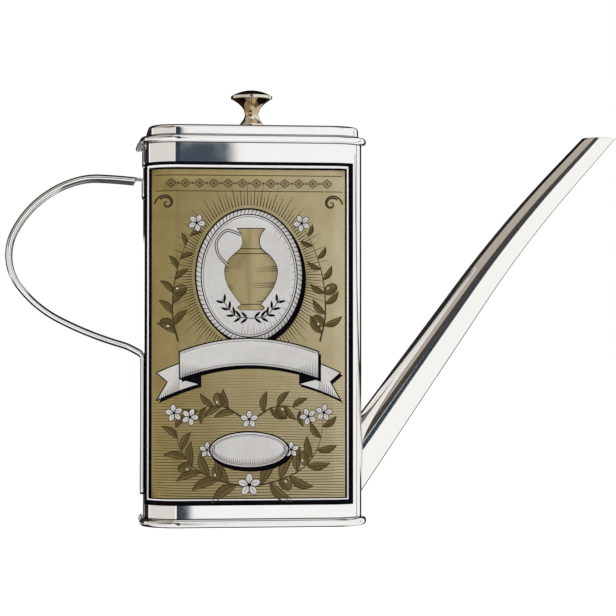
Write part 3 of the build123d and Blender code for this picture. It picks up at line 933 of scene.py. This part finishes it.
def lean_of(line, k):
    """The direction of a line from one point to the next."""
    return np.arctan2(line[k + 1][1] - line[k][1], line[k + 1][0] - line[k][0])


def dense(line, step=0.8):
    """A line with points added between its own, so that no two lie further apart than a step."""
    line = np.asarray(line, float)
    run = np.concatenate([[0], np.cumsum(np.linalg.norm(np.diff(line, axis=0), axis=1))])
    places = []
    for one, two in zip(run, run[1:]):
        places.append(np.linspace(one, two, max(1, int(np.ceil((two - one) / step))) + 1)[:-1])
    places = np.concatenate(places + [run[-1:]])
    return np.stack([np.interp(places, run, line[:, 0]), np.interp(places, run, line[:, 1])], -1)


def draw_line(layer, line, *widths):
    """A drawn line whose width is even, or runs evenly from one value to another."""
    line = dense(line)
    ink(layer, stroke(line, np.linspace(widths[0], widths[-1], len(line))))


def band(upper, lower, rows=2):
    """A filled strip between two lines of equal point counts."""
    shares = np.linspace(0, 1, rows)[:, None, None]
    return lower * (1 - shares) + upper * shares, quads(rows, len(upper))


def leaf(at, length, angle, bend, width=0.3):
    """One engraved leaf: a tinted blade, its outline, midrib and short hatching on one half.

    The blade's half width follows a sine of the way along, raised to a power for a pointed tip."""
    way = np.linspace(0, 1, 17)
    rib = np.stack([way * length, bend * length * way * (1 - way) * 4], -1)
    half = np.stack([0 * way, width * length / 2 * np.sin(pi * way ** 0.85) ** 0.9], -1)
    upper, lower, rib = (turned(line, angle, at) for line in (rib + half, rib - half, rib))
    ink("leaf_tint", band(upper, lower, 6))
    for side, weight in ((upper, 1.0), (lower, 1.5)):
        ink("brown_lines", stroke(side, HAIR * weight * (0.6 + np.sin(pi * way))))
    ink("brown_lines", stroke(rib, HAIR * (1.6 - way)))
    for k in range(2, 14):
        share = np.linspace(0.08, 0.92 if k % 2 else 0.6, 3)[:, None]
        ink("brown_lines", stroke(rib[k] + (lower[k + 1] - rib[k]) * share, HAIR * 0.8))


def olive(at, length, angle):
    """One olive: a tinted oval with a heavier outline below, curved hatching and a bright spot."""
    middle, tall = np.array([length / 2, 0.0]), length * 0.36
    own = turned(ellipse(middle, length / 2, tall, 28), angle, at)
    ink("leaf_tint", disc(own, turned(middle, angle, at), 3))
    ink("brown_lines", stroke(own, HAIR * 1.3, True))
    for k in range(5):
        low = -length * (0.05 + 0.065 * k)
        reach = length / 2 * (1 - (low / tall) ** 2) ** 0.5
        line = np.stack([length / 2 + np.linspace(-0.9, 0.95, 6) * reach, np.full(6, low)], -1)
        ink("brown_lines", stroke(turned(line, angle, at), HAIR * 0.85))
    spot = np.array([0.38, 0.17]) * length
    edge = turned(ellipse(spot, length * 0.10, length * 0.06, 28), angle, at)
    ink("silver_top", disc(edge, turned(spot, angle, at), 1))


def blossom(at, size, angle):
    """A five-petalled blossom: silver petals with dark outlines and ribs round a dark heart."""
    middle = np.array([0.55 * size, 0])
    for turn in angle + 2 * pi * np.arange(5) / 5:
        own = turned(ellipse(middle, 0.45 * size, 0.3 * size, 20), turn, at)
        ink("silver", disc(own, turned(middle, turn, at), 2))
        rib = turned(np.array([[0.25, 0.0], [0.7, 0.0]]) * size, turn, at)
        ink("black_lines", stroke(own, HAIR, True), stroke(dense(rib), HAIR * 0.7))
    ink("black_lines", oval(at, 0.17 * size, 0.17 * size, 16, 1))


def branch(line, sign, leaves, longest, fruit):
    """A stem with leaves in turn on both sides, olives at some joints and a blossom at its end."""
    ink("brown_lines", stroke(line, 0.6 * (1.15 - np.linspace(0, 1, len(line)))))
    for k in range(1, leaves):
        at = int(k * (len(line) - 1) / leaves)
        side = 1 if k % 2 else -1
        angle = lean_of(line, at) + side * radians(42 + 5 * (k % 3))
        leaf(line[at], longest * (1 - 0.045 * k), angle, 0.10 * side * sign)
        if k in fruit:
            olive(line[at], 5.4, lean_of(line, at) - side * radians(62))
    blossom(line[-1], 3.3, lean_of(line, -2))


def draw_ground():
    """The gold ground and its frame of black, white and dark lines; returns the inner edges."""
    edges = tuple(v / MM for v in (PRINT_LEFT, PRINT_RIGHT, PRINT_LOW, PRINT_HIGH))
    black, inner = border(edges, (0.85, 1.95, 1.9, 1.3))
    white, inside = border(inner, (0.55, 0.65, 0.5, 0.9))
    dark, gold = border(inside, (1.05, 0.82, 0.4, 0.75))
    ink("black_frame", *black, *dark)
    ink("silver_line", *white)
    left, right, low, high = edges
    ink("gold_ground", bar(left + 0.01, right - 0.01, low, high, 12))
    return gold


def draw_shading(inner, rules=44, pitch=1.05):
    """Engraver's rules across the lower ground, even in pitch and thinner as they rise."""
    xs = np.linspace(inner[0] + 0.4, inner[1] - 0.4, 80)
    for k in range(rules):
        zs = inner[2] + 0.9 + pitch * k + 0.25 * np.sin(xs / 9 + k * 0.35)
        ink("ground_rules", stroke(np.stack([xs, zs], -1), 0.06 + 0.20 * (1 - k / rules)))


def draw_medallion(at, wide, tall):
    """A blank oval shield of silver with a dropped shadow, fine inner rings and a rope edge."""
    ink("shadow", oval(at + np.array([1.1, -1.2]), wide + 1.6, tall + 1.6))
    ink("silver", oval(at, wide + 1.3, tall + 1.3))
    for grow, width in ((1.4, 0.6), (-0.7, 0.4), (-1.5, 0.18)):
        ink("black_lines", stroke(ellipse(at, wide + grow, tall + grow), width, True))
    for angle in 2 * pi * np.arange(84) / 84:
        ends = rim(at, wide + 1.2, tall + 1.2, angle), rim(at, wide - 0.5, tall - 0.5, angle + 0.035)
        ink("black_lines", stroke(np.linspace(*ends, 3), [0.34, 0.24, 0.14]))
    for k in range(40):
        angle = radians(-100 + 4.0 * k)
        reach = (0.80 + 0.10 * (k % 2)) + 0.06 * cos(angle * 2)
        ends = rim(at, wide - 1.6, tall - 1.6, angle), rim(at, wide * reach, tall * reach, angle)
        ink("black_lines", stroke(np.linspace(*ends, 3), [0.16, 0.10, 0.03]))


def draw_rays(at, wide, tall, inner, count=144):
    """Engraved rays from the shield out towards the frame, long and short in turn."""
    left, right, low, high = inner
    for k in range(count):
        angle = 2 * pi * (k + 0.5) / count
        way = np.array([cos(angle), sin(angle)])
        one = at + way / np.linalg.norm(way / (wide + 2.8, tall + 2.8))
        two = one + way * (9.0, 4.6, 6.8, 4.6)[k % 4]
        xs, zs = sorted((one[0], two[0])), sorted((one[1], two[1]))
        if left < xs[0] and xs[1] < right and low < zs[0] and zs[1] < high:
            draw_line("brown_lines", [one, two], 0.4, 0.08)


JUG_HALF_SHARES = (
    (0.00, 0.13), (0.03, 0.16), (0.07, 0.12), (0.16, 0.19), (0.32, 0.29), (0.50, 0.32), (0.64, 0.25),
    (0.75, 0.13), (0.84, 0.10), (0.93, 0.12), (1.00, 0.17),
)
JUG_LOOP_SHARES = ((-0.12, 0.92), (-0.30, 0.97), (-0.42, 0.84), (-0.40, 0.68), (-0.29, 0.55))
BLADE_SHARES = ((0, 0), (0.35, 0.16), (0.7, 0.14), (1.0, 0.0), (0.7, -0.1), (0.35, -0.12))


def draw_jug(at, tall):
    """A plain oil jug on the shield: a mirrored outline, a loop handle and hatching for shade."""
    smooth = smooth_line(JUG_HALF_SHARES, 6)
    right = at + smooth[:, ::-1] * tall
    left = at + smooth[:, ::-1] * (-tall, tall)
    ink("jug_tint", band(right, left, 3))
    ink("black_lines", stroke(left, 0.36), stroke(right, 0.6))

    def place(share, side):
        """A point at a share of the height, and at a share of the half width there."""
        return at + np.array([side * np.interp(share, smooth[:, 0], smooth[:, 1]), share]) * tall
    for share in (0.0, 0.07, 0.69, 0.75, 1.0):
        draw_line("black_lines", [place(share, -1), place(share, 1)], 0.3)
    for share in np.linspace(0.10, 0.67, 24):
        start, end = place(share, 0.30 + 0.25 * cos(share * 9)), place(share, 1) + (0, 0.01 * tall)
        draw_line("black_lines", [start, end], 0.06, 0.3)
        draw_line("black_lines", [place(share, -1), place(share, -0.78)], 0.2, 0.05)
    loop = smooth_line(np.array(JUG_LOOP_SHARES) * tall + at, 8)
    ink("black_lines", stroke(loop, 1.1))
    ink("silver_top", stroke(loop, 0.45))
    for sign in (-1, 1):
        stem = smooth_line(at + np.array([(0, -3.2), (sign * 6, -2.0), (sign * 11.0, 4.0)]), 10)
        ink("black_lines", stroke(stem, 0.3))
        for k in range(2, 19, 4):
            for side in (-1, 1):
                own = turned(np.array(BLADE_SHARES) * 3.6, lean_of(stem, k) + side * radians(40), stem[k])
                ink("black_lines", disc(own, own.mean(0), 1))


def draw_banner(at, half, tall, sag):
    """A blank ribbon: an arched band, two ends that fold back under it, and dark folds between.

    The band's middle line is a parabola, highest in the middle, and the ends follow it lower down."""
    def line(first, last, drop, count=60):
        """The band's middle line between two places across it, moved down or up."""
        across = np.linspace(first, last, count)
        return at + np.stack([across, sag * (1 - (across / half) ** 2) + drop], -1)

    def point(across, drop):
        """One point of that line."""
        return line(across, across, drop, 1)[0]
    drop = -4.4
    for sign in (-1, 1):
        inner, outer, notch = (sign * (half + more) for more in (-7.5, 8.5, 4.5))
        middle_row = line(inner, notch, drop, 24)
        upper, lower = (line(inner, outer, drop + rise, 24) for rise in (tall / 2, -tall / 2))
        for layer, move in (("banner_shadow", np.array([0.8, -1.0])), ("silver", np.zeros(2))):
            ink(layer, band(upper + move, middle_row + move, 14), band(middle_row + move, lower + move, 14))
        ink("black_lines", stroke(upper, 0.42), stroke(lower, 0.42))
        draw_line("black_lines", [upper[-1], middle_row[-1], lower[-1]], 0.42)
        for k in range(11):
            foot = point(inner + (outer - inner) * (0.48 + 0.045 * k), drop - tall / 2)
            draw_line("black_lines", [foot, foot + (0, tall * (0.52 - 0.04 * k))], 0.26, 0.05)
        fold_in, fold_out = line(inner, sign * half, -tall / 2, 2)
        fold_low = point(inner, drop - tall / 2)
        ink("fold", band(np.linspace(fold_in, fold_out, 12), np.linspace(fold_low, fold_out, 12), 8))
    upper, lower = line(-half, half, tall / 2, 90), line(-half, half, -tall / 2, 90)
    move = np.array([0.9, -1.1])
    ink("shadow_top", band(upper + move, lower + move, 3))
    ink("silver_top", band(upper, lower, 4))
    ink("black_top", stroke(upper, 0.45), stroke(lower, 0.6))
    for rise in (tall / 2 - 1.0, 1.0 - tall / 2):
        ink("black_top", stroke(line(-half + 1.5, half - 1.5, rise), 0.14))
    for sign, end in ((-1, 0), (1, -1)):
        draw_line("black_top", [upper[end], lower[end]], 0.45)
        for k in range(16):
            across = sign * (half - (0.5 + 0.62 * k))
            foot, head = point(across, -tall / 2), point(across, tall / 2)
            reach = tall * (0.62 - 0.035 * k) * (0.75 + 0.25 * (k % 2))
            draw_line("black_top", [foot, foot + (0, reach)], 0.24, 0.05)
            draw_line("black_top", [head, head - (0, reach * 0.35)], 0.18, 0.04)


def draw_plaque(at, wide, tall):
    """A blank oval plate low on the panel, with a double edge, a shadow and hatching at its foot."""
    ink("banner_shadow", oval(at + np.array([0.8, -1.0]), wide + 0.5, tall + 0.5))
    ink("silver", oval(at, wide, tall))
    for grow, width in ((0.0, 0.5), (-1.0, 0.2), (-1.5, 0.12)):
        ink("black_lines", stroke(ellipse(at, wide + grow, tall + grow), width, True))
    for k in range(46):
        one = rim(at, wide - 1.6, tall - 1.6, radians(-170 + 160 * k / 45))
        reach = 0.6 + 1.5 * sin(pi * k / 45) * (1 if k % 2 else 0.6)
        draw_line("black_lines", [one, one + (0, reach)], 0.2, 0.05)
    for sign in (-1, 1):
        blossom(at + np.array([sign * (wide + 1.0), 0]), 3.0, pi / 2)


def draw_lozenges(at, count, pitch, inner):
    """A band of lozenges with dots in and between them, ruled above and below."""
    for k in range(count):
        centre = at + np.array([(k - (count - 1) / 2) * pitch, 0])
        for size, width in ((0.36, 0.34), (0.2, 0.2)):
            corners = np.array([(-1, 0), (0, -0.85), (1, 0), (0, 0.85), (-1, 0)]) * size * pitch
            ink("brown_lines", stroke(dense(centre + corners, 0.7)[:-1], width, True))
        ink("brown_lines", oval(centre, 0.42, 0.42, 12, 1))
        if k < count - 1:
            ink("brown_lines", oval(centre + np.array([pitch / 2, 0]), 0.42, 0.42, 12, 1))
    for rise in (-3.0, 3.0):
        draw_line("brown_lines", [(inner[0] + 1.2, at[1] + rise), (inner[1] - 1.2, at[1] + rise)], 0.28)


def draw_scroll(at, side):
    """An upper corner's scroll: two spirals about one centre, whose lines grow finer as they wind in."""
    turn = np.linspace(0.0, 2.6 * pi, 60)
    for size, start in ((4.4, 0.0), (2.9, 0.6)):
        winding = np.stack([np.cos(turn + start), np.sin(turn + start)], -1)
        spiral = 5.4 - size * np.exp(-0.24 * turn)[:, None] * winding
        ink("brown_lines", stroke(at + spiral * (side, -1), np.linspace(0.7, 0.18, 60)))


# Each twig: its line from the middle out, its leaves, its longest leaf and the leaves with olives
TWIGS = (
    (((1.5, 15.6), (11, 17.8), (20.5, 22.5), (26.5, 31.0), (28.5, 43.5)), 11, 12.5, (3, 6)),
    (((3.0, 42.0), (9.0, 45.5), (16.0, 45.8), (22.5, 42.0)), 7, 8.5, (3,)),
    (((27.0, 70.5), (29.0, 80.0), (28.5, 92.0), (25.5, 104.0), (20.0, 115.5)), 11, 8.6, (2, 5)),
)
# Each layer's height off the steel, in millimetres, and its ink
LAYER_INKS = (
    ("gold_ground", 0.05, gold_lacquer), ("ground_rules", 0.06, brown_ink),
    ("black_frame", 0.077, black_ink), ("silver_line", 0.077, white_ink),
    ("leaf_tint", 0.069, leaf_ink), ("shadow", 0.070, black_ink),
    ("banner_shadow", 0.0865, black_ink), ("brown_lines", 0.0775, brown_ink),
    ("silver", 0.095, silver_ink), ("fold", 0.1035, black_ink),
    ("jug_tint", 0.1035, gold_lacquer), ("black_lines", 0.106, black_ink),
    ("shadow_top", 0.115, black_ink), ("silver_top", 0.122, silver_ink),
    ("black_top", 0.130, black_ink),
)


def draw_print():
    """The whole panel, laid out about one middle line."""
    inner = draw_ground()
    draw_shading(inner)
    middle = (inner[0] + inner[1]) / 2

    def at(z, x=0.0):
        """A place at a height, on the middle line or beside it."""
        return np.array([middle + x, z])
    draw_lozenges(at(130.6), 12, 5.4, inner)
    draw_rays(at(95.5), 19.0, 24.0, inner)
    draw_medallion(at(95.5), 19.0, 24.0)
    draw_jug(at(82.5, 0.6), 31.0)
    draw_banner(at(61.5), 26.5, 10.5, 5.0)
    draw_plaque(at(29.5), 15.0, 6.8)
    for sign in (-1, 1):
        for points, *rest in TWIGS:
            branch(smooth_line(np.array(points) * (sign, 1) + (middle, 0), 12), sign, *rest)
        draw_scroll(np.array([inner[0] if sign < 0 else inner[1], inner[3] - 7.6]), -sign)
    blossom(at(16.2), 4.4, pi / 2)
    blossom(at(41.0), 3.4, pi / 2)
    for row in LAYER_INKS:
        lay(*row)
    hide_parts("front_print")


make_tank()
make_weld()
make_foot()
make_lid()
make_hinge()
make_knob()
make_spout()
make_spout_solder()
make_handle()
draw_print()
for node, finish in (("hinge_pin", hinge_steel), ("knob_washer", zinc_steel), ("knob_screw", zinc_steel)):
    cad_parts[node].data.materials.clear()
    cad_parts[node].data.materials.append(finish)


# Stage, light and camera

def seen_rays(tree):
    """1 for the rays of the camera, of gloss and of clear materials, and the node of ray kinds."""
    path = add(tree, "LightPath")
    seen = add(tree, "Math", operation="MAXIMUM", in0=(path, "Is Camera Ray"), in1=(path, "Is Glossy Ray"))
    return add(tree, "Math", operation="MAXIMUM", in0=seen, in1=(path, "Is Transmission Ray")), path


def make_floor(size=4.0):
    """A pale floor: white to the camera and to gloss, and dimmed only by the object's shadow."""
    made, tree = new_material("pale_floor")
    lift = add(tree, "Math", operation="MULTIPLY", in0=seen_rays(tree)[0], in1=0.55)
    matt = add(tree, "BsdfDiffuse", Color=linear("#e8e8e8"))
    glow = add(tree, "Emission", Color=linear("#ffffff"), Strength=lift)
    add(tree, "OutputMaterial", Surface=add(tree, "AddShader", in0=matt, in1=glow))
    mesh = bpy.data.meshes.new("floor")
    corners = [(-size, -size, 0), (size, -size, 0), (size, size, 0), (-size, size, 0)]
    mesh.from_pydata(corners, [], [(0, 1, 2, 3)])
    mesh.materials.append(made)
    floor = bpy.data.objects.new("floor", mesh)
    bpy.context.scene.collection.objects.link(floor)
    floor.visible_glossy = False


# The studio round the tin, as gloss sees it. Each card is a window in two angles, each given as
# (from, to, soft edge) in degrees, and a tone. These stand in rings about the view's axis, by clock
# angle (0 right, 90 up, 180 left, 270 down) and by angle off the axis, where 180 is the camera.
RING_CARDS = (
    ("left soft box", (152, 212, 3.0), (70, 172, 3.0), "#e2deda"),
    ("high over the backdrop", (50, 128, 8.0), (64, 100, 14.0), "#7d7a77"),
    ("over the backdrop", (50, 128, 2.0), (9, 70, 4.0), "#0d0c0c"),
    ("left over the backdrop", (126, 160, 2.0), (9, 72, 2.0), "#2b2826"),
    ("left of the backdrop", (158, 190, 12.0), (12, 61, 1.5), "#2a2826"),
    ("left under the backdrop", (202, 252, 2.0), (12, 72, 12.0), "#262524"),
    ("under the backdrop", (250, 292, 4.0), (22, 84, 8.0), "#4a4846"),
    ("right under the backdrop", (290, 345, 2.0), (8, 34, 2.0), "#3a3836"),
    ("right of the backdrop", (-16, 52, 2.0), (6, 36, 1.5), "#1f1d1c"),
    ("thin card on the right", (-14, 14, 1.5), (61, 66, 1.5), "#b4b2b0"),
    ("grey wall over the left", (104, 166, 2.5), (74, 137, 2.5), "#b3aca2"),
)
# Cards behind the camera, by azimuth from +Y towards +X and by elevation
BACK_CARDS = (
    ("the camera", (176.95, 194.0, 0.06), (-1, 30, 0.25), "#39434d"),
    ("the camera's stand", (176.75, 188.5, 0.06), (-32, -1, 0.25), "#3f454b"),
    ("dark doorway", (175.75, 177.2, 0.4), (4.5, 5.6, 0.08), "#404c58"),
)
# A rail that slants down behind the camera, by elevation plus a share of the azimuth and by elevation
RAIL_SLANT_SHARE = 0.85
RAIL = ("slanted rail", (186, 219.5, 1.5), (8, 40, 1.5), "#48433f")


def make_world():
    """A white studio: plain to the eye and to matt surfaces, with cards that only gloss sees."""
    world = bpy.data.worlds.new("studio")
    bpy.context.scene.world = world
    world.use_nodes = True
    tree = world.node_tree
    tree.nodes.clear()

    def angle(operation, *sides):
        """An inverse function of one or two sides of a direction, in degrees."""
        raw = add(tree, "Math", operation=operation, **{"in%d" % k: side for k, side in enumerate(sides)})
        return add(tree, "Math", operation="DEGREES", in0=raw)
    place = (add(tree, "TexCoord"), "Generated")
    facing = add(tree, "VectorRotate", rotation_type="Z_AXIS", Vector=place, Angle=VIEW_AZIMUTH)
    split = add(tree, "SeparateXYZ", Vector=facing)
    off = angle("ARCCOSINE", (split, 1))
    signed = angle("ARCTAN2", (split, 2), (split, 0))
    straight = add(tree, "SeparateXYZ", Vector=place)
    heading = angle("ARCTAN2", (straight, 0), (straight, 1))
    # Both as angles from 0 to 360 degrees
    clock, azimuth = (
        add(tree, "Math", operation="FLOORED_MODULO", in0=value, in1=360.0) for value in (signed, heading)
    )
    elevation = angle("ARCSINE", (straight, 2))
    slant = add(tree, "Math", operation="MULTIPLY_ADD", in0=azimuth, in1=RAIL_SLANT_SHARE, in2=elevation)
    pairs = [(card, signed if card[1][0] < 0 else clock, off) for card in RING_CARDS]
    pairs += [(card, azimuth, elevation) for card in BACK_CARDS] + [(RAIL, slant, elevation)]
    colour = white = linear("#ffffff")
    for (name, first, second, tone), one, other in pairs:
        across, upright = window(tree, one, *first), window(tree, other, *second)
        card = add(tree, "Math", operation="MULTIPLY", in0=across, in1=upright)
        card.label = name
        colour = (add(tree, "Mix", data_type="RGBA", in0=card, in6=colour, in7=linear(tone)), 2)
    seen, path = seen_rays(tree)
    gloss = add(tree, "Mix", data_type="RGBA", in0=(path, "Is Glossy Ray"), in6=white, in7=colour)
    strength = add(tree, "MapRange", Value=seen, in1=0.0, in2=1.0, in3=0.8, in4=1.0)
    add(tree, "OutputWorld", Surface=add(tree, "Background", Color=(gloss, 2), Strength=strength))


def set_up(name, data, place, look):
    """A lamp or camera at a place, facing along a direction."""
    made = bpy.data.objects.new(name, data)
    made.location = place
    made.rotation_euler = look.to_track_quat("-Z", "Y").to_euler()
    bpy.context.scene.collection.objects.link(made)
    return made


def make_lamp(name, place, aim, size, watts):
    """A square soft lamp that gloss doesn't see."""
    lamp = bpy.data.lights.new(name, "AREA")
    lamp.energy = watts
    lamp.size = size
    set_up(name, lamp, place, Vector(aim) - Vector(place)).visible_glossy = False


def make_camera():
    """The photograph's view: turned to the handle's side, level with the tank's middle."""
    level = cos(VIEW_PITCH)
    look = Vector((sin(VIEW_AZIMUTH) * level, cos(VIEW_AZIMUTH) * level, sin(VIEW_PITCH)))
    data = bpy.data.cameras.new("photo_camera")
    data.sensor_width = 36.0
    data.lens = FOCAL_SHARE * data.sensor_width
    data.clip_start = 0.01
    bpy.context.scene.camera = set_up("photo_camera", data, CAMERA_PLACE, look)


make_floor()
make_world()
make_lamp("key", (-0.5, -0.7, 0.9), (0.0, 0.0, 0.08), 0.7, 4.0)
make_camera()
bpy.context.scene.view_settings.view_transform = "Standard"
